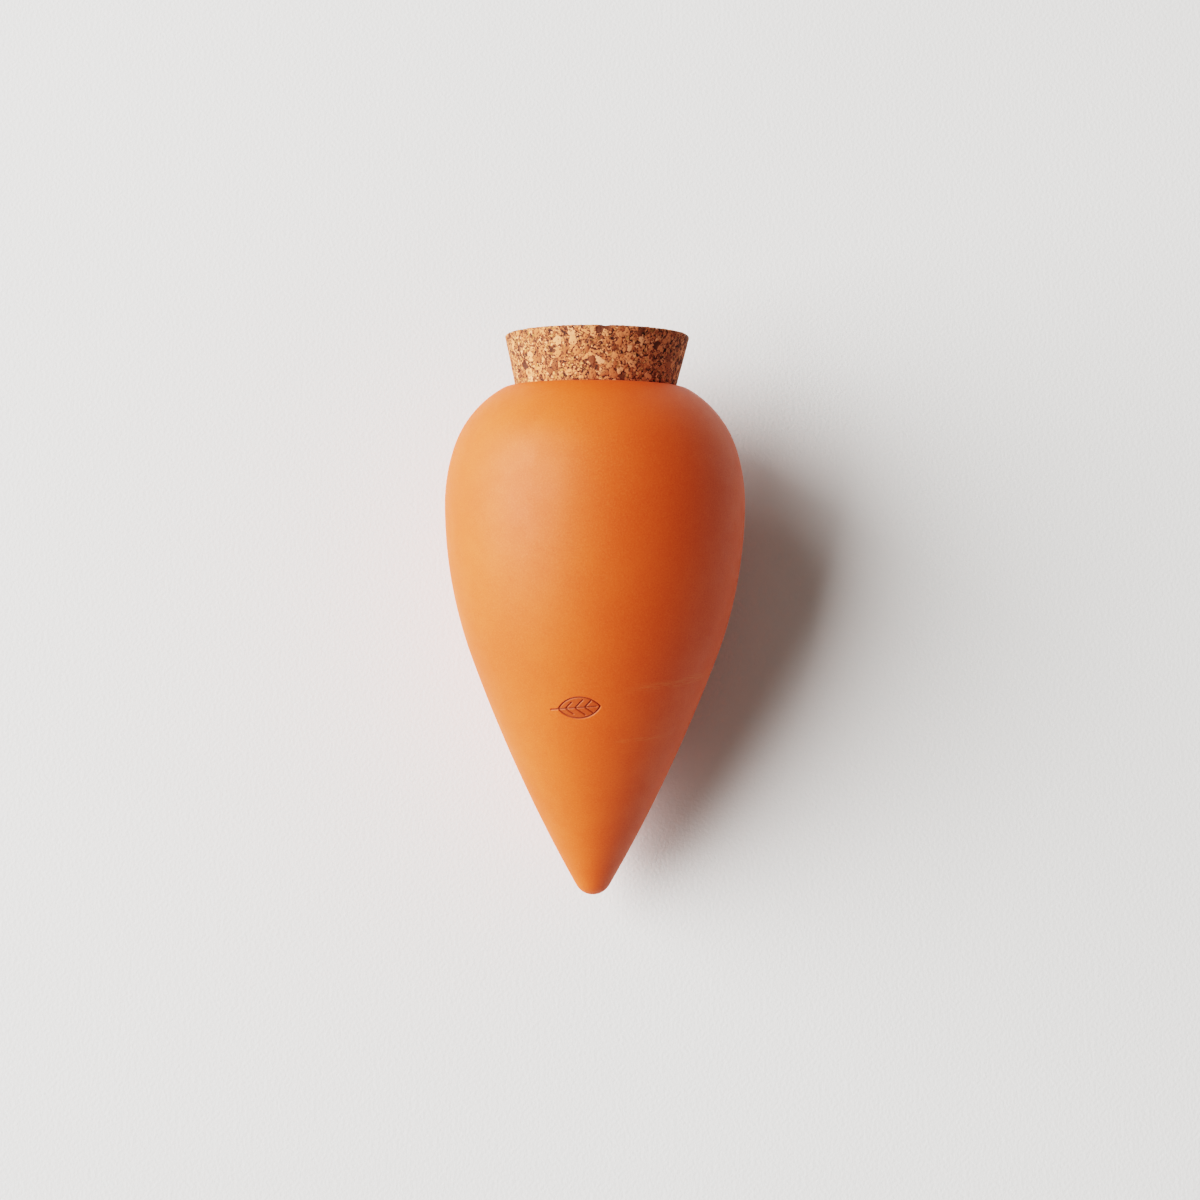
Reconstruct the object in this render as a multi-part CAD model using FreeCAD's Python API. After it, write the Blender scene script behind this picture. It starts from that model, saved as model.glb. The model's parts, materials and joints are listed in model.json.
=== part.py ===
import FreeCAD, Part

import math
import os

# Irrigation olla: a hollow drop of unglazed terracotta that is sunk in soil point down,
# filled with water and closed with a tapered cork. Lengths are in millimetres, angles in degrees.
# The section is drawn with the drop's axis as Z and its point down. The pieces are then laid
# on their side, with the cork towards +Y, the way the olla comes to rest on a floor.

# The drop's outside is a chain of tangent arcs, named from the point up.
# A turn is how far the wall's normal has swung from level where one arc hands over to the next.
tip_radius = 6.2
lower_flank_radius = 520.0
upper_flank_radius = 142.0
flank_turn = 20.0
belly_diameter = 95.0
belly_radius = 56.0
belly_turn = 18.8
shoulder_radius = 33.5
lip_radius = 6.0

# Where the surface of revolution has its seam, as a turn of the section about the drop's axis
seam_turn = 4.62

# The cast wall is even, and thicker only where the slip pools in the point.
wall = 6.0
hollow_tip_radius = 5.0

# The mouth
mouth_diameter = 50.8
mouth_outer_round = 1.2
mouth_inner_round = 1.5

# The cork is pushed in a little askew, and its cut edges are worn down.
cork_proud = 16.0
cork_inside = 14.6
cork_taper = 13.2
cork_lean = 1.4
cork_edge_wear = 0.5
cork_clearance = 0.2

# What the pieces weigh for their size decides how the olla lies, in grams per cubic centimetre.
# The cork is pressed from granules with a binder, which makes it dense.
terracotta_density = 1.9
cork_density = 0.5

AXIS = FreeCAD.Vector(0, 0, 1)
LEVEL = 0
UP = 90
INWARD = 180
DOWN = -90


def point(radius, height):
    """A point of the section, which is drawn in the XZ plane."""
    return FreeCAD.Vector(radius, 0, height)


def normal(angle):
    """The unit vector at an angle above level, pointing away from the axis."""
    return point(math.cos(math.radians(angle)), math.sin(math.radians(angle)))


def angle_of(vector):
    return math.degrees(math.atan2(vector.z, vector.x))


def arc(centre, radius, start, end):
    """The arc about a centre from one normal's angle to another."""
    ends = [centre + normal(angle) * radius for angle in (start, (start + end) / 2, end)]
    return Part.Arc(*ends).toShape()


def line(start, end):
    return Part.LineSegment(start, end).toShape()


# The centres of the arcs, with the widest part of the belly at height 0
belly_half = belly_diameter / 2
mouth_half = mouth_diameter / 2
upper_flank = point(belly_half - upper_flank_radius, 0)
lower_flank = upper_flank - normal(-flank_turn) * (lower_flank_radius - upper_flank_radius)
belly = point(belly_half - belly_radius, 0)
shoulder = belly + normal(belly_turn) * (belly_radius - shoulder_radius)

# The lip's arc is level where it meets the rounded edge of the mouth.
lip_across = mouth_half + mouth_outer_round
lip_reach = shoulder_radius - lip_radius
shoulder_turn = math.degrees(math.acos((lip_across - shoulder.x) / lip_reach))
lip = shoulder + normal(shoulder_turn) * lip_reach
rim_height = lip.z + lip_radius
rim_round = point(lip_across, rim_height - mouth_outer_round)

# Under the mouth, a round leads from its bore into the hollow of the shoulder.
throat_across = mouth_half + mouth_inner_round
throat_reach = shoulder_radius - wall + mouth_inner_round
throat_turn = math.degrees(math.acos((throat_across - shoulder.x) / throat_reach))
throat = shoulder + normal(throat_turn) * throat_reach


def tip_centre(flank_radius, radius):
    """The centre on the axis of a ball that touches the lower flank from inside."""
    drop = math.sqrt((flank_radius - radius) ** 2 - lower_flank.x ** 2)
    return point(0, lower_flank.z - drop)


tip = tip_centre(lower_flank_radius, tip_radius)
hollow_tip = tip_centre(lower_flank_radius - wall, hollow_tip_radius)
tip_turn = angle_of(tip - lower_flank)
hollow_tip_turn = angle_of(hollow_tip - lower_flank)


def drop_section():
    outside = [
        arc(tip, tip_radius, DOWN, tip_turn),
        arc(lower_flank, lower_flank_radius, tip_turn, -flank_turn),
        arc(upper_flank, upper_flank_radius, -flank_turn, LEVEL),
        arc(belly, belly_radius, LEVEL, belly_turn),
        arc(shoulder, shoulder_radius, belly_turn, shoulder_turn),
        arc(lip, lip_radius, shoulder_turn, UP),
    ]
    mouth = [
        arc(rim_round, mouth_outer_round, UP, INWARD),
        line(point(mouth_half, rim_round.z), point(mouth_half, throat.z)),
        arc(throat, mouth_inner_round, INWARD, INWARD + throat_turn),
    ]
    hollow = [
        arc(shoulder, shoulder_radius - wall, throat_turn, belly_turn),
        arc(belly, belly_radius - wall, belly_turn, LEVEL),
        arc(upper_flank, upper_flank_radius - wall, LEVEL, -flank_turn),
        arc(lower_flank, lower_flank_radius - wall, -flank_turn, hollow_tip_turn),
        arc(hollow_tip, hollow_tip_radius, hollow_tip_turn, DOWN),
    ]
    floor = line(point(0, hollow_tip.z - hollow_tip_radius), point(0, tip.z - tip_radius))
    return Part.Wire(outside + mouth + hollow + [floor])


def make_olla_body():
    """One cast piece: wall, point, shoulder and lip."""
    body = Part.Face(drop_section()).revolve(FreeCAD.Vector(), AXIS, 360)
    body.rotate(FreeCAD.Vector(), AXIS, seam_turn)
    return body


def make_cork_stopper():
    """A tapered plug that wedges on the round of the rim, clear of it by the clearance."""
    spread = math.tan(math.radians(cork_taper))
    lost_to_lean = mouth_half * math.tan(math.radians(cork_lean)) * spread
    off_round = mouth_outer_round + cork_clearance + lost_to_lean
    radius_at_rim = lip_across + mouth_outer_round * spread - off_round / math.cos(math.radians(cork_taper))
    stopper = Part.makeCone(
        radius_at_rim - cork_inside * spread,
        radius_at_rim + cork_proud * spread,
        cork_inside + cork_proud,
        point(0, rim_height - cork_inside),
    )
    edges = [edge for edge in stopper.Edges if edge.Closed and isinstance(edge.Curve, Part.Circle)]
    stopper = stopper.makeChamfer(cork_edge_wear, edges).Solids[0]
    stopper.rotate(point(0, rim_height), FreeCAD.Vector(0, 1, 0), cork_lean)
    return stopper


def balance_height(weighed):
    """The height of the centre of mass, from pairs of a solid and its density."""
    masses = [solid.Volume * density for solid, density in weighed]
    heights = [solid.CenterOfMass.z for solid, density in weighed]
    return sum(mass * height for mass, height in zip(masses, heights)) / sum(masses)


def resting_dip(height):
    """How far the point dips below level when the olla lies still.

    It touches the floor where the wall's normal passes through the balance point, so each arc
    is tried from the belly down until that normal lies on it.
    """
    for centre, lowest in ((belly, LEVEL), (upper_flank, -flank_turn), (lower_flank, tip_turn)):
        turn = angle_of(point(0, height) - centre)
        if turn >= lowest:
            break
    return -turn


def lie_down(solids, dip):
    """Turn the axis from Z towards +Y, and set the box's bottom centre at the origin."""
    for solid in solids:
        solid.rotate(FreeCAD.Vector(), FreeCAD.Vector(1, 0, 0), dip - UP)
    box = Part.makeCompound(solids).optimalBoundingBox()
    for solid in solids:
        solid.translate(FreeCAD.Vector(-box.Center.x, -box.Center.y, -box.ZMin))


olla_body = make_olla_body()
cork_stopper = make_cork_stopper()
balance = balance_height([(olla_body, terracotta_density), (cork_stopper, cork_density)])
lie_down([olla_body, cork_stopper], resting_dip(balance))

os.makedirs("parts", exist_ok=True)
olla_body.exportStep("parts/olla_body.step")
cork_stopper.exportStep("parts/cork_stopper.step")
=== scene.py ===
import json
import math

import bpy
from mathutils import Matrix, Vector, noise


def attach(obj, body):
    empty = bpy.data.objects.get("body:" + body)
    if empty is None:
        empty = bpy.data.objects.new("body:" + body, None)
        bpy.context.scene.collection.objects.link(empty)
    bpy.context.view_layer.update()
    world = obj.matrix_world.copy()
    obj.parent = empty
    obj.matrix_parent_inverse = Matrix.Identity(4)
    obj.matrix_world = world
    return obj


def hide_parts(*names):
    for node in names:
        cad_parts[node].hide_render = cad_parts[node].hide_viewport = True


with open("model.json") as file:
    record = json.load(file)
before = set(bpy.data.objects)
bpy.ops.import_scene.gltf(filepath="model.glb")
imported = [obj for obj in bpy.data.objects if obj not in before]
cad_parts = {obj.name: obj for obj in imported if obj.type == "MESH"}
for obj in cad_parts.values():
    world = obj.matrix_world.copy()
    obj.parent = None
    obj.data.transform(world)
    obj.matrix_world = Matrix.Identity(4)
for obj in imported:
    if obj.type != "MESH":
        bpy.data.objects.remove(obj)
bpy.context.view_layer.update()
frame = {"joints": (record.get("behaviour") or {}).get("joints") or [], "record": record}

# Lengths are in metres, so a size in millimetres is multiplied by MM.
MM = 0.001

# The olla's own directions. It lies on its belly with the cork towards +Y.
MOUNTS = {mount["name"]: mount for mount in frame["record"]["mounts"]}
CORKWARD = Vector(frame["joints"][0]["axis"]).normalized()
ACROSS = Vector((1, 0, 0))
FRONT = ACROSS.cross(CORKWARD)
POINT_END = Vector(MOUNTS["soil_seat"]["pos_m"])
CORK_TOP = Vector(MOUNTS["cork_top"]["pos_m"])
CORK_AXIS = Vector(MOUNTS["cork_top"]["axis"]).normalized()
DIP = math.asin(CORKWARD.z)

# The drop's section, made of the same tangent arcs as the solid's
TIP_RADIUS = 6.2 * MM
LOWER_FLANK_RADIUS = 520 * MM
UPPER_FLANK_RADIUS = 142 * MM
FLANK_TURN = math.radians(20)
BELLY_HALF = 47.5 * MM
BELLY_RADIUS = 56 * MM
BELLY_TURN = math.radians(18.8)
SHOULDER_RADIUS = 33.5 * MM
LIP_RADIUS = 6 * MM
WALL = 6 * MM
HOLLOW_TIP_RADIUS = 5 * MM
MOUTH_HALF = 25.4 * MM
MOUTH_OUTER_ROUND = 1.2 * MM
MOUTH_INNER_ROUND = 1.5 * MM
DOWN, LEVEL, UP, INWARD = -math.pi / 2, 0, math.pi / 2, math.pi

# The cork, a touch wider than its solid so that it meets the rim
CORK_LENGTH = 30.6 * MM
CORK_TOP_RADIUS = 29.12 * MM
CORK_TAPER = math.tan(math.radians(13.2))
CORK_EDGE_WEAR = 0.5 * MM
CORK_CAP_RINGS = 70
CORK_SIDE_ROWS = 90

# How finely the clay is meshed, and how uneven the cast came out
ROW_STEP = 1.5 * MM
HOLLOW_ROW_STEP = 4 * MM
COLUMN_TURN = math.radians(2)
WIDEST_ARC_STEP = math.radians(20)
SAME_ANGLE = 1e-6
MARK_STEP = 0.14 * MM
UNEVEN_MEAN = 0.06 * MM
UNEVEN_SWING = 0.042 * MM
UNEVEN_SIZE = 30 * MM
RIPPLE_SHARE = 0.4
RIPPLES_PER_WAVE = 2.7

# The pressed mark on the flank: a plain leaf, with its stalk to the left.
# The midrib's end, the veins' roots and the longest vein's root are shares of the leaf's half length.
MARK_ANGLE = math.radians(-7.3)
MARK_HEIGHT = 65.2 * MM
MARK_TILT = math.radians(6)
LEAF_HALF = 6.4 * MM
LEAF_BULGE = 3.5 * MM
LEAF_STALK = 2.4 * MM
MIDRIB_END = 0.82
VEIN_PAIRS = 3
FIRST_VEIN = -0.66
VEIN_SPACING = 0.46
LONGEST_VEIN = -0.2
VEIN_LENGTH = 0.72
VEIN_SLANT = 1.1
LINE_HALF_WIDTH = 0.34 * MM
LINE_DEPTH = 0.45 * MM
LEAF_DEPTH = 0.1 * MM
MARGIN_ROUND_AXIS = 0.5 * MM
MARGIN_ALONG_AXIS = 1.6 * MM

# Cork granules: some large ones, and small ones packed between them.
# Their edges bend by a share of a small granule, in waves of a small granule's size or so.
LARGE_GRANULE = 2.1 * MM
SMALL_GRANULE = 0.85 * MM
LARGE_SHARE = 0.3
GRANULE_SEED = 6.0
EDGE_BEND = 0.8
EDGE_WAVES = 0.8
LOST_CRUMB_SHARE = 0.08
BARK_SIZE = 0.42 * MM

# The tones of the granules, from the darkest to the palest, as (drawn number, colour)
GRANULE_TONES = [
    (0.0, (0.16, 0.042, 0.015)),
    (0.12, (0.34, 0.09, 0.032)),
    (0.32, (0.54, 0.152, 0.059)),
    (0.55, (0.69, 0.212, 0.09)),
    (0.8, (0.81, 0.272, 0.122)),
    (1.0, (0.92, 0.362, 0.188)),
]

# Pale rubbed streaks on the flank, with turns from the front in radians and heights from the point
SCUFFS = [
    {
        "From Turn": 0.2,
        "To Turn": 1.45,
        "From Height": 70.4 * MM,
        "To Height": 74.2 * MM,
        "Half Width": 2.3 * MM,
    },
    {
        "From Turn": 0.16,
        "To Turn": 0.85,
        "From Height": 54.2 * MM,
        "To Height": 55.4 * MM,
        "Half Width": 0.9 * MM,
    },
]
STREAK_SKIPS_PER_TURN = 6
STREAK_FIBRES_PER_METRE = 2600
CLAY_ROUGHNESS = 0.52

# The light: one large soft window, and a pale room that fills the shadows.
# ROOM_SEEN is how bright the room itself looks to the camera, past the floor's edge.
KEY_DIRECTION = ACROSS * -0.8 + CORKWARD * 0.2 + FRONT * 0.52
KEY_SIDE = 4.0
KEY_DISTANCE = 3.9
KEY_POWER = 490
KEY_COLOUR = (1, 0.985, 0.965)
ROOM_LIGHT = 0.165
ROOM_LIGHT_COLOUR = (1, 0.97, 0.88, 1)
ROOM_SEEN = 0.8
ROOM_SEEN_COLOUR = (1, 1, 1, 1)
WINDOW_AIM_UP_AXIS = 0.1
FLOOR_REACH = 3

# The view: the lens, where the camera stands up the axis and in front of it, and how it is turned
FOCAL_PIXELS = 1412.97
FRAME_PIXELS = 1200
SENSOR_WIDTH_IN_MM = 36
CAMERA_UP_AXIS = 0.12268
CAMERA_IN_FRONT = 0.450
CAMERA_LEAN = math.radians(3.497)
CAMERA_SWING = math.radians(0.2236)
CAMERA_ROLL = math.radians(0.322)


def unit(angle):
    """A section's unit vector at an angle above level, pointing away from the axis."""
    return Vector((math.cos(angle), math.sin(angle)))


def angle_of(vector):
    return math.atan2(vector.y, vector.x)


def drop_arcs():
    """The outside and the hollow, each a list of arcs (centre, radius, first angle, last angle).

    A centre is (distance from the axis, height above the point's end).
    """
    upper = Vector((BELLY_HALF - UPPER_FLANK_RADIUS, 0))
    lower = upper - unit(-FLANK_TURN) * (LOWER_FLANK_RADIUS - UPPER_FLANK_RADIUS)
    belly = Vector((BELLY_HALF - BELLY_RADIUS, 0))
    shoulder = belly + unit(BELLY_TURN) * (BELLY_RADIUS - SHOULDER_RADIUS)
    lip_reach = SHOULDER_RADIUS - LIP_RADIUS
    shoulder_turn = math.acos((MOUTH_HALF + MOUTH_OUTER_ROUND - shoulder.x) / lip_reach)
    lip = shoulder + unit(shoulder_turn) * lip_reach
    rim = lip + Vector((0, LIP_RADIUS - MOUTH_OUTER_ROUND))
    throat_reach = SHOULDER_RADIUS - WALL + MOUTH_INNER_ROUND
    throat_turn = math.acos((MOUTH_HALF + MOUTH_INNER_ROUND - shoulder.x) / throat_reach)
    throat = shoulder + unit(throat_turn) * throat_reach

    def ball_in(flank_radius, radius):
        drop = math.sqrt((flank_radius - radius) ** 2 - lower.x ** 2)
        return Vector((0, lower.y - drop))

    tip = ball_in(LOWER_FLANK_RADIUS, TIP_RADIUS)
    hollow_tip = ball_in(LOWER_FLANK_RADIUS - WALL, HOLLOW_TIP_RADIUS)
    tip_turn = angle_of(tip - lower)
    hollow_turn = angle_of(hollow_tip - lower)
    outside = [
        (tip, TIP_RADIUS, DOWN, tip_turn),
        (lower, LOWER_FLANK_RADIUS, tip_turn, -FLANK_TURN),
        (upper, UPPER_FLANK_RADIUS, -FLANK_TURN, LEVEL),
        (belly, BELLY_RADIUS, LEVEL, BELLY_TURN),
        (shoulder, SHOULDER_RADIUS, BELLY_TURN, shoulder_turn),
        (lip, LIP_RADIUS, shoulder_turn, UP),
        (rim, MOUTH_OUTER_ROUND, UP, INWARD),
    ]
    hollow = [
        (throat, MOUTH_INNER_ROUND, -INWARD, throat_turn - INWARD),
        (shoulder, SHOULDER_RADIUS - WALL, throat_turn, BELLY_TURN),
        (belly, BELLY_RADIUS - WALL, BELLY_TURN, LEVEL),
        (upper, UPPER_FLANK_RADIUS - WALL, LEVEL, -FLANK_TURN),
        (lower, LOWER_FLANK_RADIUS - WALL, -FLANK_TURN, hollow_turn),
        (hollow_tip, HOLLOW_TIP_RADIUS, hollow_turn, DOWN),
    ]
    end = tip - Vector((0, TIP_RADIUS))
    return [[(arc[0] - end, *arc[1:]) for arc in arcs] for arcs in (outside, hollow)]


def walk(arcs, step_at):
    """Points along arcs as (point, way it faces), no further apart than step_at says."""
    points = []
    for centre, radius, start, end in arcs:
        angle = start
        faces = -1 if end < start else 1
        while abs(end - angle) > SAME_ANGLE:
            place = centre + unit(angle) * radius
            points.append((place, unit(angle) * faces))
            stride = min(step_at(place) / radius, WIDEST_ARC_STEP)
            angle += (end - angle) / max(1, math.ceil(abs(end - angle) / stride))
    return points + [(centre + unit(end) * radius, unit(end) * faces)]


def off_line(place, start, end):
    """How far a place is from the line between two points."""
    run = Vector(end) - Vector(start)
    away = place - Vector(start)
    share = min(1, max(0, away.dot(run) / run.length_squared))
    return (away - run * share).length


def leaf_depth(place):
    """How deep the leaf's stamp went in at a place measured from the leaf's middle."""
    side = Vector((place.x, abs(place.y)))
    bow_radius = (LEAF_HALF ** 2 + LEAF_BULGE ** 2) / (2 * LEAF_BULGE)
    past_edge = math.hypot(side.x, side.y + bow_radius - LEAF_BULGE) - bow_radius
    tips = math.hypot(abs(side.x) - LEAF_HALF, side.y)
    within = abs(side.x) < LEAF_HALF
    lines = [abs(past_edge) if within else tips]
    lines.append(off_line(side, (-LEAF_HALF - LEAF_STALK, 0), (LEAF_HALF * MIDRIB_END, 0)))
    for vein in range(VEIN_PAIRS):
        root = vein * VEIN_SPACING + FIRST_VEIN
        reach = LEAF_BULGE * (1 - (root - LONGEST_VEIN) ** 2) * VEIN_LENGTH
        start = (LEAF_HALF * root, 0)
        lines.append(off_line(side, start, (start[0] + reach * VEIN_SLANT, reach)))
    line = LINE_DEPTH * max(0, 1 - (min(lines) / LINE_HALF_WIDTH) ** 2) ** 2
    bed = LEAF_DEPTH * min(1, max(0, -past_edge / LINE_HALF_WIDTH)) if within else 0
    return max(line, bed)


def column_angles(mark_radius):
    """The angles round the axis, close together across the mark."""
    half = (LEAF_HALF + LEAF_STALK + MARGIN_ROUND_AXIS) / mark_radius
    near_count = math.ceil(2 * half * mark_radius / MARK_STEP)
    far_turn = 2 * math.pi - 2 * half
    far_count = math.ceil(far_turn / COLUMN_TURN)
    near = [MARK_ANGLE - half + 2 * half * i / near_count for i in range(near_count)]
    return near + [MARK_ANGLE + half + far_turn * i / far_count for i in range(far_count)]


def mesh_piece(name, vertices, faces):
    mesh = bpy.data.meshes.new(name)
    mesh.from_pydata(vertices, [], faces)
    mesh.shade_smooth()
    piece = bpy.data.objects.new(name, mesh)
    bpy.context.scene.collection.objects.link(piece)
    return piece


def uneven_depth(spot):
    """How far the cast skin lies inside its arcs, in slow waves with smaller ones on them."""
    ripple = noise.noise(spot * RIPPLES_PER_WAVE / UNEVEN_SIZE)
    return UNEVEN_MEAN + UNEVEN_SWING * (noise.noise(spot / UNEVEN_SIZE) + RIPPLE_SHARE * ripple)


def make_clay_drop():
    """The cast body as one closed skin: outside, lip, mouth and hollow."""
    outside, hollow = drop_arcs()
    mark_reach = LEAF_BULGE + MARGIN_ALONG_AXIS

    def outer_step(place):
        if place.x < MOUTH_HALF or place.y > MARK_HEIGHT + mark_reach:
            return ROW_STEP
        gap = abs(place.y - MARK_HEIGHT) - mark_reach
        return max(MARK_STEP, min(ROW_STEP, gap))

    outer_rows = walk(outside, outer_step)
    rows = outer_rows + walk(hollow, lambda place: HOLLOW_ROW_STEP)
    mark_row = min(range(len(outer_rows)), key=lambda i: abs(rows[i][0].y - MARK_HEIGHT))
    mark_place = rows[mark_row][0]
    angles = column_angles(mark_place.x)
    mark_turned = Matrix.Rotation(-MARK_TILT, 2)
    vertices = []
    pressed = []
    for i, (place, faces) in enumerate(rows):
        at_pole = i in (0, len(rows) - 1)
        up = math.copysign((place - mark_place).length, place.y - mark_place.y)
        marked = i < len(outer_rows) and abs(up) < mark_reach
        for angle in angles[:1] if at_pole else angles:
            outward = ACROSS * math.sin(angle) + FRONT * math.cos(angle)
            spot = POINT_END + CORKWARD * place.y + outward * place.x
            depth = uneven_depth(spot) if i < len(outer_rows) else 0
            stamp = 0
            if marked:
                turn = (angle - MARK_ANGLE + math.pi) % (2 * math.pi) - math.pi
                stamp = leaf_depth(mark_turned @ Vector((turn * place.x, up)))
            vertices.append(spot - (outward * faces.x + CORKWARD * faces.y) * (depth + stamp))
            # The stamp's depth share, widened by its square root, is the mask for the painted shade in the
            # stamp's grooves.
            pressed.append(math.sqrt(stamp / LINE_DEPTH))
    drop = mesh_piece("clay_drop", vertices, lathe_faces(len(rows), len(angles)))
    drop.data.attributes.new("pressed", "FLOAT", "POINT").data.foreach_set("value", pressed)
    return drop


def lathe_faces(rows, around):
    """Faces between rings of vertices, with a single vertex at each end of the axis."""
    def ring(row, i):
        return 1 + (row - 1) * around + i % around

    last = ring(rows - 1, 0)
    faces = []
    for i in range(around):
        faces.append((0, ring(1, i + 1), ring(1, i)))
        faces.append((ring(rows - 2, i), ring(rows - 2, i + 1), last))
    for row in range(1, rows - 2):
        for i in range(around):
            faces.append((ring(row, i), ring(row, i + 1), ring(row + 1, i + 1), ring(row + 1, i)))
    return faces


def cap_grid():
    """A square grid pushed out into a disc: (share of the radius, angle) for each vertex."""
    half = CORK_CAP_RINGS
    places = []
    for row in range(-half, half + 1):
        for column in range(-half, half + 1):
            ring = max(abs(row), abs(column))
            if ring == 0:
                places.append((0, 0))
            elif abs(column) >= abs(row):
                turn = math.pi / 4 * row / column
                places.append((ring / half, turn if column > 0 else turn + math.pi))
            else:
                turn = math.pi / 2 - math.pi / 4 * column / row
                places.append((ring / half, turn if row > 0 else turn + math.pi))
    return places


def make_cork_blank():
    """The tapered cork with worn edges, meshed evenly enough for its granules to show."""
    side = 2 * CORK_CAP_RINGS + 1
    grid = cap_grid()
    border = list(range(side))
    border += [row * side + side - 1 for row in range(1, side)]
    border += [side * side - 1 - i for i in range(1, side)]
    border += [row * side for row in range(side - 2, 0, -1)]
    out = ACROSS
    over = CORK_AXIS.cross(out)

    def place(radius, depth, angle):
        return CORK_TOP - CORK_AXIS * depth + (out * math.cos(angle) + over * math.sin(angle)) * radius

    def radius_at(depth):
        return CORK_TOP_RADIUS - depth * CORK_TAPER

    vertices = []
    for depth in (0, CORK_LENGTH):
        cap_radius = radius_at(depth) - CORK_EDGE_WEAR
        vertices += [place(cap_radius * share, depth, angle) for share, angle in grid]
    for row in range(CORK_SIDE_ROWS + 1):
        depth = CORK_EDGE_WEAR + (CORK_LENGTH - 2 * CORK_EDGE_WEAR) * row / CORK_SIDE_ROWS
        vertices += [place(radius_at(depth), depth, grid[i][1]) for i in border]

    faces = []
    for row in range(side - 1):
        for column in range(side - 1):
            corner = row * side + column
            quad = (corner, corner + 1, corner + side + 1, corner + side)
            faces.append(quad)
            faces.append(tuple(side * side + i for i in reversed(quad)))
    around = len(border)
    rings = [border] + [
        [2 * side * side + row * around + i for i in range(around)] for row in range(CORK_SIDE_ROWS + 1)
    ] + [[side * side + i for i in border]]
    for upper, lower in zip(rings, rings[1:]):
        for i in range(around):
            j = (i + 1) % around
            faces.append((upper[i], lower[i], lower[j], upper[j]))
    return mesh_piece("cork_granules", vertices, faces)


def feed(tree, value, socket):
    """Links a socket, or sets a value, a single number going to each part of a vector."""
    if isinstance(value, bpy.types.NodeSocket):
        tree.links.new(value, socket)
    elif socket.type == "VECTOR" and isinstance(value, (int, float)):
        socket.default_value = (value, value, value)
    else:
        socket.default_value = value


def add(tree, kind, inputs=None, **settings):
    """A node with its settings, and its inputs by name."""
    node = tree.nodes.new(kind)
    for name, value in settings.items():
        setattr(node, name, value)
    for name, value in (inputs or {}).items():
        feed(tree, value, node.inputs[name])
    return node


def maths(tree, operation, *terms):
    node = tree.nodes.new("ShaderNodeMath")
    node.operation = operation
    for term, socket in zip(terms, node.inputs):
        feed(tree, term, socket)
    return node.outputs[0]


def vector_maths(tree, operation, *terms):
    node = tree.nodes.new("ShaderNodeVectorMath")
    node.operation = operation
    for term, socket in zip(terms, node.inputs):
        feed(tree, term, socket)
    return node.outputs["Value" if operation == "DOT_PRODUCT" else "Vector"]


def ease(tree, value, low, high, at_low=0.0, at_high=1.0):
    """A value carried smoothly from one number to another as it goes from low to high."""
    inputs = {"Value": value, "From Min": low, "From Max": high, "To Min": at_low, "To Max": at_high}
    return add(tree, "ShaderNodeMapRange", inputs, interpolation_type="SMOOTHSTEP").outputs["Result"]


def blend_colours(tree, share, first, second):
    node = add(tree, "ShaderNodeMix", data_type="RGBA")
    for value, name in ((share, "Factor_Float"), (first, "A_Color"), (second, "B_Color")):
        feed(tree, value, next(socket for socket in node.inputs if socket.identifier == name))
    return next(socket for socket in node.outputs if socket.identifier == "Result_Color")


def new_group(name, kind, inputs, outputs):
    """An empty node group, its way in and its way out. Sockets are (name, type, default)."""
    group = bpy.data.node_groups.new(name, kind)
    for side, sockets in (("INPUT", inputs), ("OUTPUT", outputs)):
        for socket_name, socket_kind, default in sockets:
            socket = group.interface.new_socket(socket_name, in_out=side, socket_type=socket_kind)
            if default is not None:
                socket.default_value = default
    return group, group.nodes.new("NodeGroupInput").outputs, group.nodes.new("NodeGroupOutput").inputs


def place_group(tree, group, inputs):
    return add(tree, "ShaderNodeGroup", inputs, node_tree=group).outputs


FLOAT = "NodeSocketFloat"
VECTOR = "NodeSocketVector"


def make_grain_group():
    """Fine grain, such as fired clay, ground cork and plaster all have: a number from 0 to 1."""
    group, given, result = new_group(
        "fine grain",
        "ShaderNodeTree",
        [("Place", VECTOR, None), ("Grain Size", FLOAT, 0.4 * MM), ("Contrast", FLOAT, 1.0)],
        [("Grain", FLOAT, None)],
    )
    scale = maths(group, "DIVIDE", 1, given["Grain Size"])
    grit = add(group, "ShaderNodeTexNoise", {"Vector": given["Place"], "Scale": scale, "Detail": 2.5})
    spread = maths(group, "MULTIPLY", maths(group, "SUBTRACT", grit.outputs["Fac"], 0.5), given["Contrast"])
    group.links.new(maths(group, "ADD", spread, 0.5), result["Grain"])
    return group


def make_mottle_group():
    """Cloudy patches where a surface took its colour unevenly: a number from 0 to 1."""
    group, given, result = new_group(
        "cloudy mottle",
        "ShaderNodeTree",
        [("Place", VECTOR, None), ("Patch Size", FLOAT, 20 * MM), ("Seed", FLOAT, 0.0)],
        [("Mottle", FLOAT, None)],
    )
    scale = maths(group, "DIVIDE", 1, given["Patch Size"])
    clouds = add(
        group,
        "ShaderNodeTexNoise",
        {"Vector": given["Place"], "W": given["Seed"], "Scale": scale, "Detail": 3, "Distortion": 0.4},
        noise_dimensions="4D",
    )
    group.links.new(ease(group, clouds.outputs["Fac"], 0.3, 0.7), result["Mottle"])
    return group


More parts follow.
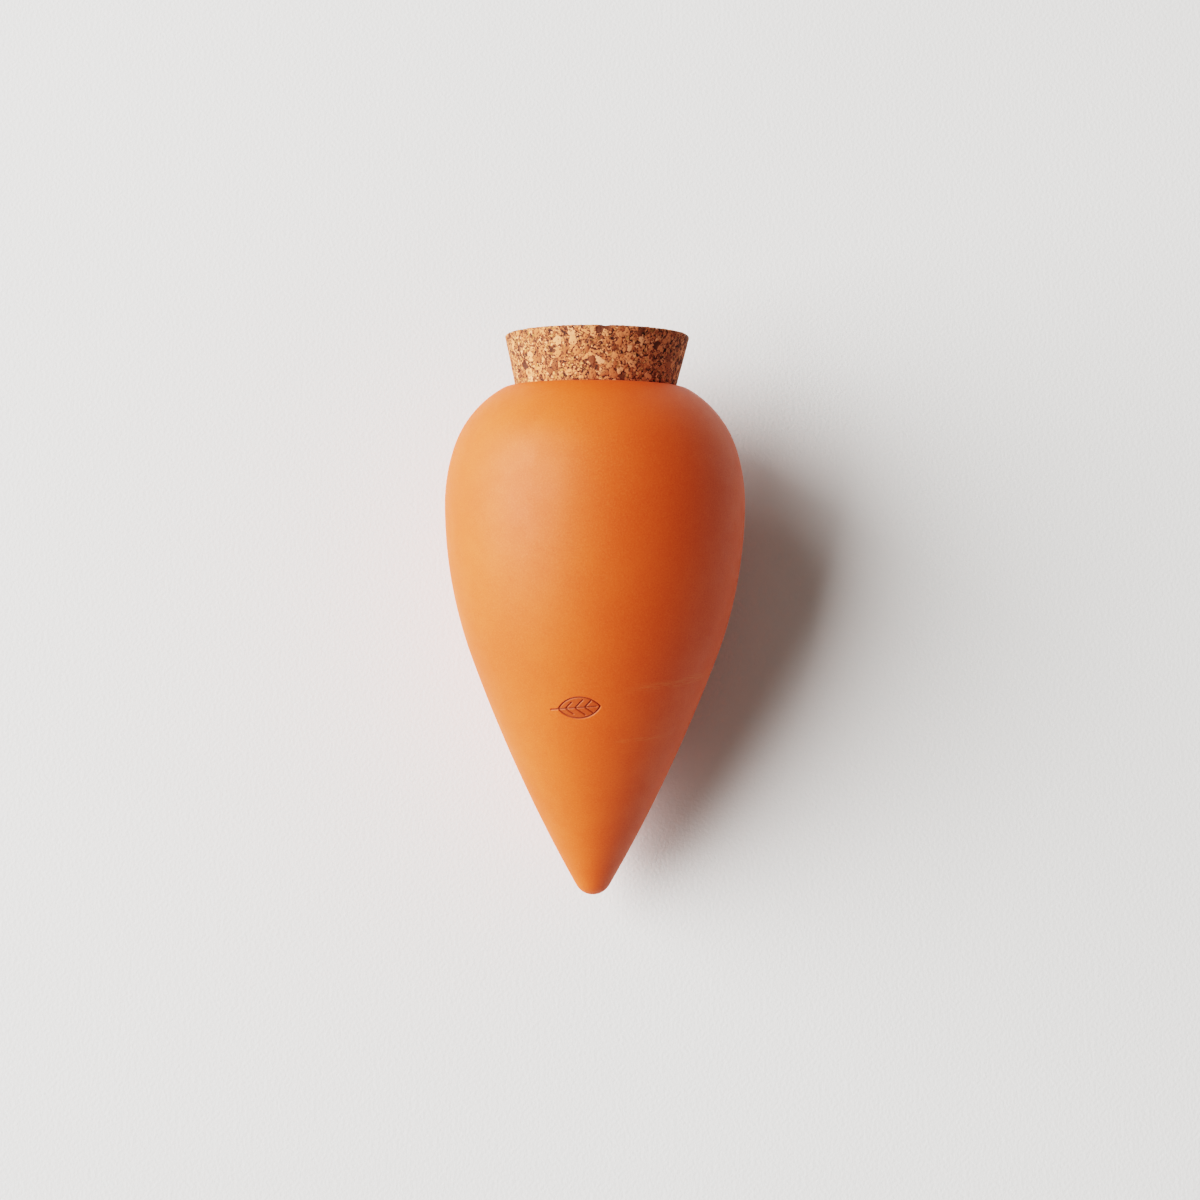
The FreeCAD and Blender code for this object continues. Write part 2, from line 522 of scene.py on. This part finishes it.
def make_scuff_group():
    """A rubbed streak along the flank, from one turn and height to another: a mask."""
    group, given, result = new_group(
        "rubbed streak",
        "ShaderNodeTree",
        [
            ("Turn", FLOAT, None),
            ("Height", FLOAT, None),
            ("From Turn", FLOAT, 0.0),
            ("To Turn", FLOAT, 1.0),
            ("From Height", FLOAT, 0.0),
            ("To Height", FLOAT, 0.0),
            ("Half Width", FLOAT, 1 * MM),
        ],
        [("Mask", FLOAT, None)],
    )
    run = maths(group, "SUBTRACT", given["To Turn"], given["From Turn"])
    share = maths(group, "DIVIDE", maths(group, "SUBTRACT", given["Turn"], given["From Turn"]), run)
    climb = maths(group, "SUBTRACT", given["To Height"], given["From Height"])
    line = maths(group, "ADD", given["From Height"], maths(group, "MULTIPLY", climb, share))
    off = maths(group, "ABSOLUTE", maths(group, "SUBTRACT", given["Height"], line))
    across = ease(group, off, 0, given["Half Width"], 1, 0)
    ends = maths(group, "MULTIPLY", ease(group, share, 0, 0.25), ease(group, share, 0.6, 1, 1, 0))
    skips_along = maths(group, "MULTIPLY", given["Turn"], STREAK_SKIPS_PER_TURN)
    fibres_across = maths(group, "MULTIPLY", given["Height"], STREAK_FIBRES_PER_METRE)
    fibres = add(group, "ShaderNodeCombineXYZ", {"X": skips_along, "Y": fibres_across}).outputs[0]
    skips = add(group, "ShaderNodeTexNoise", {"Vector": fibres, "Scale": 1, "Detail": 4})
    broken = ease(group, skips.outputs["Fac"], 0.42, 0.62)
    mask = maths(group, "MULTIPLY", maths(group, "MULTIPLY", across, ends), broken)
    group.links.new(mask, result["Mask"])
    return group


def granule_field(tree, place, large_size, small_size, large_share, seed):
    """The granules of pressed cork, found alike by the relief and by the material.

    Gives how far a place is from its granule's edge, and three numbers drawn for each granule.
    """
    shifted = vector_maths(tree, "ADD", place, maths(tree, "MULTIPLY", seed, 0.1))
    bends = add(
        tree,
        "ShaderNodeTexNoise",
        {"Vector": shifted, "Scale": maths(tree, "DIVIDE", EDGE_WAVES, small_size), "Detail": 1.5},
    )
    bend = vector_maths(tree, "SUBTRACT", bends.outputs["Color"], 0.5)
    bend = vector_maths(tree, "MULTIPLY", bend, maths(tree, "MULTIPLY", small_size, EDGE_BEND))
    bent = vector_maths(tree, "ADD", shifted, bend)
    edges = []
    draws = []
    for size in (large_size, small_size):
        inputs = {"Vector": bent, "Scale": maths(tree, "DIVIDE", 1, size)}
        cells = add(tree, "ShaderNodeTexVoronoi", inputs, feature="F1")
        rims = add(tree, "ShaderNodeTexVoronoi", inputs, feature="DISTANCE_TO_EDGE")
        edges.append(maths(tree, "MULTIPLY", rims.outputs["Distance"], size))
        channels = ((1, 0, 0), (0, 1, 0), (0, 0, 1))
        draws.append([vector_maths(tree, "DOT_PRODUCT", cells.outputs["Color"], c) for c in channels])
    is_large = maths(tree, "LESS_THAN", draws[0][0], large_share)
    small_edge = maths(tree, "MAXIMUM", edges[1], is_large)
    edge = maths(tree, "MINIMUM", edges[0], small_edge)
    picked = []
    for of_large, of_small in zip(draws[0], draws[1]):
        step = maths(tree, "MULTIPLY", maths(tree, "SUBTRACT", of_large, of_small), is_large)
        picked.append(maths(tree, "ADD", of_small, step))
    return edge, picked


def make_granule_relief():
    """Geometry nodes that press granules, gaps and lost crumbs into the cork, always inwards."""
    group, given, result = new_group(
        "granule relief",
        "GeometryNodeTree",
        [
            ("Geometry", "NodeSocketGeometry", None),
            ("Large Granule", FLOAT, LARGE_GRANULE),
            ("Small Granule", FLOAT, SMALL_GRANULE),
            ("Large Share", FLOAT, LARGE_SHARE),
            ("Seed", FLOAT, GRANULE_SEED),
            ("Gap Width", FLOAT, 0.3 * MM),
            ("Gap Depth", FLOAT, 0.14 * MM),
            ("Granule Step", FLOAT, 0.08 * MM),
            ("Crumb Depth", FLOAT, 0.35 * MM),
            ("Crumb Share", FLOAT, LOST_CRUMB_SHARE),
            ("Material", "NodeSocketMaterial", None),
        ],
        [("Geometry", "NodeSocketGeometry", None)],
    )
    group.is_modifier = True
    place = add(group, "GeometryNodeInputPosition").outputs[0]
    edge, draws = granule_field(
        group, place, given["Large Granule"], given["Small Granule"], given["Large Share"], given["Seed"]
    )
    gap = maths(group, "MULTIPLY", ease(group, edge, 0, given["Gap Width"], 1, 0), given["Gap Depth"])
    step = maths(group, "MULTIPLY", draws[1], given["Granule Step"])
    lost = maths(group, "LESS_THAN", draws[2], given["Crumb Share"])
    hollow = ease(group, edge, 0, maths(group, "MULTIPLY", given["Small Granule"], 0.3))
    crumb = maths(group, "MULTIPLY", maths(group, "MULTIPLY", lost, hollow), given["Crumb Depth"])
    depth = maths(group, "ADD", maths(group, "MAXIMUM", gap, step), crumb)
    normal = add(group, "GeometryNodeInputNormal").outputs["Normal"]
    inwards = vector_maths(group, "MULTIPLY", normal, maths(group, "MULTIPLY", depth, -1))
    pressed = add(group, "GeometryNodeSetPosition", {"Geometry": given["Geometry"], "Offset": inwards})
    real = add(group, "GeometryNodeRealizeInstances", {"Geometry": pressed.outputs[0]})
    finish = {"Geometry": real.outputs[0], "Material": given["Material"]}
    painted = add(group, "GeometryNodeSetMaterial", finish)
    group.links.new(painted.outputs[0], result["Geometry"])
    return group


def press_granules(cork, material):
    """Runs the relief on the cork blank and keeps its result as a plain mesh."""
    relief = cork.modifiers.new("granule relief", "NODES")
    relief.node_group = make_granule_relief()
    for item in relief.node_group.interface.items_tree:
        if item.name == "Material":
            relief[item.identifier] = material
    cork.update_tag()
    shaped = cork.evaluated_get(bpy.context.evaluated_depsgraph_get())
    blank = cork.data
    cork.data = bpy.data.meshes.new_from_object(shaped)
    cork.data.name = cork.name
    cork.modifiers.remove(relief)
    bpy.data.meshes.remove(blank)


def new_material(name):
    """A material with its tree, its shader, and the place on the piece that patterns are read at."""
    material = bpy.data.materials.new(name)
    material.use_nodes = True
    tree = material.node_tree
    shader = tree.nodes["Principled BSDF"]
    place = add(tree, "ShaderNodeTexCoord").outputs["Object"]
    return material, tree, shader, place


def colour_ramp(tree, value, stops):
    """A ramp through (position, colour) stops."""
    ramp = add(tree, "ShaderNodeValToRGB", {"Fac": value})
    elements = ramp.color_ramp.elements
    while len(elements) < len(stops):
        elements.new(0.5)
    for element, (position, colour) in zip(elements, stops):
        element.position = position
        element.color = (*colour, 1)
    return ramp.outputs["Color"]


def bump(tree, shader, height, distance):
    """Fine relief on the shader's normal, from a height in which 1 stands for the distance."""
    node = add(tree, "ShaderNodeBump", {"Height": height, "Distance": distance, "Strength": 1})
    tree.links.new(node.outputs["Normal"], shader.inputs["Normal"])


def make_terracotta(grain_group, mottle_group, scuff_group):
    """Unglazed orange clay, sponged smooth: cloudy colour, fine grain, pale scuffs, a dry sheen.

    The drop's "pressed" attribute paints shade into the stamp's grooves and their slopes: they are darkened
    in colour as well as pressed in.
    """
    material, tree, shader, place = new_material("unglazed terracotta")
    deep = (0.7, 0.094, 0.015, 1)
    pale = (0.74, 0.108, 0.019, 1)
    blotched = (0.65, 0.081, 0.012, 1)
    light_grain = (0.79, 0.146, 0.037, 1)
    dark_grain = (0.557, 0.058, 0.008, 1)
    scuffed = (0.86, 0.3, 0.13, 1)
    # Near black, painted shade for the stamp's grooves.
    painted_stamp_shade = (0.12, 0.022, 0.004, 1)

    clouds = place_group(tree, mottle_group, {"Place": place, "Patch Size": 26 * MM, "Seed": 1.0})
    blotches = place_group(tree, mottle_group, {"Place": place, "Patch Size": 7 * MM, "Seed": 2.0})
    grain = place_group(tree, grain_group, {"Place": place, "Grain Size": 0.45 * MM, "Contrast": 2.2})
    powder = place_group(tree, grain_group, {"Place": place, "Grain Size": 0.14 * MM, "Contrast": 1.6})

    clay = blend_colours(tree, clouds["Mottle"], deep, pale)
    clay = blend_colours(tree, maths(tree, "MULTIPLY", blotches["Mottle"], 0.3), clay, blotched)
    clay = blend_colours(tree, ease(tree, grain["Grain"], 0.45, 0.95, 0, 0.4), clay, light_grain)
    clay = blend_colours(tree, ease(tree, grain["Grain"], 0.4, 0.02, 0, 0.42), clay, dark_grain)

    drop_place = add(tree, "ShaderNodeMapping", {"Vector": place}, vector_type="TEXTURE")
    drop_place.inputs["Location"].default_value = POINT_END
    drop_place.inputs["Rotation"].default_value = (DIP, 0, 0)
    parts = add(tree, "ShaderNodeSeparateXYZ", {"Vector": drop_place.outputs[0]}).outputs
    turn = maths(tree, "ARCTAN2", parts["X"], parts["Z"])
    scuffs = 0
    for scuff in SCUFFS:
        mask = place_group(tree, scuff_group, {"Turn": turn, "Height": parts["Y"], **scuff})["Mask"]
        scuffs = maths(tree, "ADD", scuffs, mask)
    rubbed = maths(tree, "MINIMUM", scuffs, 1)
    clay = blend_colours(tree, maths(tree, "MULTIPLY", rubbed, 0.26), clay, scuffed)
    pressed = add(tree, "ShaderNodeAttribute", attribute_name="pressed").outputs["Fac"]
    # Painted shade: the stamp's grooves and their slopes are darkened in colour, as shade would fall in
    # them.
    clay = blend_colours(tree, maths(tree, "MULTIPLY", pressed, 0.9), clay, painted_stamp_shade)
    tree.links.new(clay, shader.inputs["Base Color"])

    dry = maths(tree, "MULTIPLY_ADD", blotches["Mottle"], 0.05, CLAY_ROUGHNESS)
    dry = maths(tree, "MULTIPLY_ADD", powder["Grain"], 0.05, dry)
    tree.links.new(maths(tree, "MULTIPLY_ADD", rubbed, 0.1, dry), shader.inputs["Roughness"])
    shader.inputs["Specular IOR Level"].default_value = 0.4
    height = maths(tree, "MULTIPLY_ADD", powder["Grain"], 0.35, grain["Grain"])
    bump(tree, shader, height, 0.014 * MM)
    return material


def make_pressed_cork(grain_group, mottle_group):
    """Granules from straw to brown, with flecks of bark between them, and painted shade in the gaps between
    granules and in the pits of lost crumbs.
    """
    material, tree, shader, place = new_material("pressed cork")
    edge, draws = granule_field(tree, place, LARGE_GRANULE, SMALL_GRANULE, LARGE_SHARE, GRANULE_SEED)
    cell_brown = (0.3, 0.085, 0.03, 1)
    straw = (0.5, 0.24, 0.07, 1)
    # Darkest brown: the bark flecks' own colour, and painted shade for the gaps and pits.
    bark_and_painted_shade = (0.05, 0.014, 0.006, 1)

    tone = colour_ramp(tree, draws[1], GRANULE_TONES)
    cells = place_group(tree, grain_group, {"Place": place, "Grain Size": 0.22 * MM, "Contrast": 1.7})
    clouds = place_group(tree, mottle_group, {"Place": place, "Patch Size": 5 * MM, "Seed": 8.0})
    tone = blend_colours(tree, ease(tree, cells["Grain"], 0.5, 0.1, 0, 0.5), tone, cell_brown)
    tone = blend_colours(tree, ease(tree, draws[0], 0.72, 1, 0, 0.5), tone, straw)

    parted = place_group(tree, grain_group, {"Place": place, "Grain Size": 0.9 * MM, "Contrast": 1.5})
    # Painted shade: the gaps between granules are darkened in colour, over their pressed-in relief.
    open_width = ease(tree, parted["Grain"], 0.5, 0.75, 0.01 * MM, 0.2 * MM)
    gap = ease(tree, maths(tree, "DIVIDE", edge, open_width), 0.5, 1.1, 1, 0)
    bark = add(tree, "ShaderNodeTexVoronoi", {"Vector": place, "Scale": 1 / BARK_SIZE}, feature="F1")
    bark_draw = vector_maths(tree, "DOT_PRODUCT", bark.outputs["Color"], (0, 0, 1))
    bark_share = ease(tree, clouds["Mottle"], 0, 1, 0.09, 0.18)
    is_bark = maths(tree, "LESS_THAN", bark_draw, bark_share)
    fleck = maths(tree, "MULTIPLY", is_bark, ease(tree, cells["Grain"], 0.35, 0.6))
    lost = maths(tree, "LESS_THAN", draws[2], LOST_CRUMB_SHARE)
    # The gaps and the lost crumbs' pits get painted shade; the flecks are the bark's own dark colour.
    dark = maths(tree, "MAXIMUM", maths(tree, "MAXIMUM", gap, fleck), maths(tree, "MULTIPLY", lost, 0.7))
    tone = blend_colours(tree, dark, tone, bark_and_painted_shade)
    tree.links.new(tone, shader.inputs["Base Color"])
    tree.links.new(maths(tree, "MULTIPLY_ADD", draws[1], 0.12, 0.74), shader.inputs["Roughness"])
    shader.inputs["Specular IOR Level"].default_value = 0.4
    level = maths(tree, "SUBTRACT", cells["Grain"], maths(tree, "MULTIPLY", dark, 1.4))
    bump(tree, shader, level, 0.08 * MM)
    return material


def make_plaster(grain_group, mottle_group):
    """The pale matt floor, with a faint tooth."""
    material, tree, shader, place = new_material("pale plaster")
    greyer = (0.785, 0.78, 0.78, 1)
    whiter = (0.82, 0.815, 0.815, 1)

    tooth = place_group(tree, grain_group, {"Place": place, "Grain Size": 1.2 * MM, "Contrast": 1.4})
    clouds = place_group(tree, mottle_group, {"Place": place, "Patch Size": 0.2, "Seed": 5.0})
    tint = maths(tree, "MULTIPLY_ADD", tooth["Grain"], 0.25, maths(tree, "MULTIPLY", clouds["Mottle"], 0.5))
    tree.links.new(blend_colours(tree, tint, greyer, whiter), shader.inputs["Base Color"])
    tree.links.new(maths(tree, "MULTIPLY_ADD", tooth["Grain"], 0.1, 0.85), shader.inputs["Roughness"])
    shader.inputs["Specular IOR Level"].default_value = 0.2
    bump(tree, shader, tooth["Grain"], 0.1 * MM)
    return material


def make_floor(material):
    reach = FLOOR_REACH
    corners = [(-reach, -reach, 0), (reach, -reach, 0), (reach, reach, 0), (-reach, reach, 0)]
    floor = mesh_piece("pale_floor", corners, [(0, 1, 2, 3)])
    floor.data.materials.append(material)
    return floor


def aim(thing, place, forward, right):
    """Puts a camera or a light at a place, looking forward with its own right side to the right."""
    forward = forward.normalized()
    right = (right - forward * right.dot(forward)).normalized()
    turned = Matrix((right, right.cross(forward), -forward)).transposed().to_4x4()
    thing.matrix_world = Matrix.Translation(place) @ turned


def add_window():
    """The large soft light to the left of the view."""
    light = bpy.data.lights.new("window_left", "AREA")
    light.shape = "SQUARE"
    light.size = KEY_SIDE
    light.energy = KEY_POWER
    light.color = KEY_COLOUR
    window = bpy.data.objects.new("window_left", light)
    bpy.context.scene.collection.objects.link(window)
    direction = KEY_DIRECTION.normalized()
    lit = POINT_END + CORKWARD * WINDOW_AIM_UP_AXIS
    aim(window, lit + direction * KEY_DISTANCE, -direction, CORKWARD)


def light_the_set():
    add_window()
    world = bpy.data.worlds.new("pale room")
    world.use_nodes = True
    tree = world.node_tree
    walls = tree.nodes["Background"].inputs
    seen = add(tree, "ShaderNodeLightPath").outputs["Is Camera Ray"]
    tree.links.new(blend_colours(tree, seen, ROOM_LIGHT_COLOUR, ROOM_SEEN_COLOUR), walls["Color"])
    tree.links.new(maths(tree, "MULTIPLY_ADD", seen, ROOM_SEEN - ROOM_LIGHT, ROOM_LIGHT), walls["Strength"])
    bpy.context.scene.world = world
    bpy.context.scene.view_settings.view_transform = "Filmic"
    bpy.context.scene.view_settings.look = "High Contrast"


def make_camera():
    """The photograph's view: in front of the cork's side of the belly, leaning a little to the point."""
    lens = bpy.data.cameras.new("front_view")
    lens.sensor_width = SENSOR_WIDTH_IN_MM
    lens.lens = FOCAL_PIXELS / FRAME_PIXELS * lens.sensor_width
    camera = bpy.data.objects.new("front_view", lens)
    bpy.context.scene.collection.objects.link(camera)
    forward = -FRONT * math.cos(CAMERA_LEAN) - CORKWARD * math.sin(CAMERA_LEAN)
    right = ACROSS * math.cos(CAMERA_SWING) - forward * math.sin(CAMERA_SWING)
    forward = forward * math.cos(CAMERA_SWING) + ACROSS * math.sin(CAMERA_SWING)
    upward = right.cross(forward)
    place = POINT_END + CORKWARD * CAMERA_UP_AXIS + FRONT * CAMERA_IN_FRONT
    aim(camera, place, forward, right * math.cos(CAMERA_ROLL) + upward * math.sin(CAMERA_ROLL))
    bpy.context.scene.camera = camera


grain_group = make_grain_group()
mottle_group = make_mottle_group()
terracotta = make_terracotta(grain_group, mottle_group, make_scuff_group())
pressed_cork = make_pressed_cork(grain_group, mottle_group)
plaster = make_plaster(grain_group, mottle_group)

clay_drop = make_clay_drop()
clay_drop.data.materials.append(terracotta)
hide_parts("olla_body")
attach(clay_drop, "vessel")

cork = make_cork_blank()
press_granules(cork, pressed_cork)
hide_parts("cork_stopper")
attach(cork, "stopper")

make_floor(plaster)
light_the_set()
make_camera()
